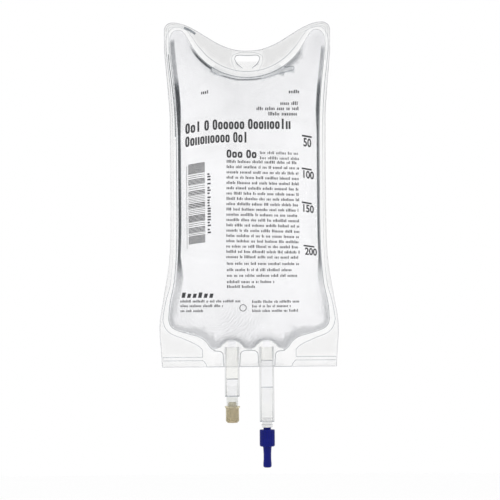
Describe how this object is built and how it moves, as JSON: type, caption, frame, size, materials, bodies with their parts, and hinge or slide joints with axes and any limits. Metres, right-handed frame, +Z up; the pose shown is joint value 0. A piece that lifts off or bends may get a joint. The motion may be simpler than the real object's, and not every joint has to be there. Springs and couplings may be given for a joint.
{
  "type": "iv fluid bag",
  "caption": "Clear flexible drip bag, hung by a slot in its top panel, filled with fluid, with a rubber-plugged injection port and an outlet port closed by a pull-off stopper.",
  "frame": {"origin": "the edge of the hanger slot that rests on the hook, at the middle of the bag's width and halfway between its two sheets", "axes": "+Z up towards the hook, X across the bag's width, -Y towards the printed front"},
  "size_m": [0.1004, 0.0356, 0.2496],
  "materials": {
    "front_film": "gloss",
    "rear_film": "gloss",
    "fluid": "gloss",
    "port_tube": "satin",
    "cream_sleeve": "satin",
    "clear_neck": "gloss",
    "plug_rubber": "matte",
    "clear_band": "gloss",
    "spike_tube": "satin",
    "blue_stopper": "satin"
  },
  "bodies": {
    "bag": {"front_film": "front_film", "rear_film": "rear_film", "saline_fill": "fluid", "injection_port_tube": "port_tube", "injection_sleeve": "cream_sleeve", "injection_neck": "clear_neck", "injection_plug": "plug_rubber", "plug_band": "clear_band", "outlet_port_tube": "port_tube", "outlet_sleeve": "cream_sleeve", "spike_tube": "spike_tube"},
    "stopper": {"outlet_stopper": "blue_stopper"}
  },
  "joints": [
    {"name": "stopper_pull", "type": "slide", "parent": "bag", "child": "stopper", "axis": [0, 0, -1], "range_m": [0, 0.03]}
  ]
}
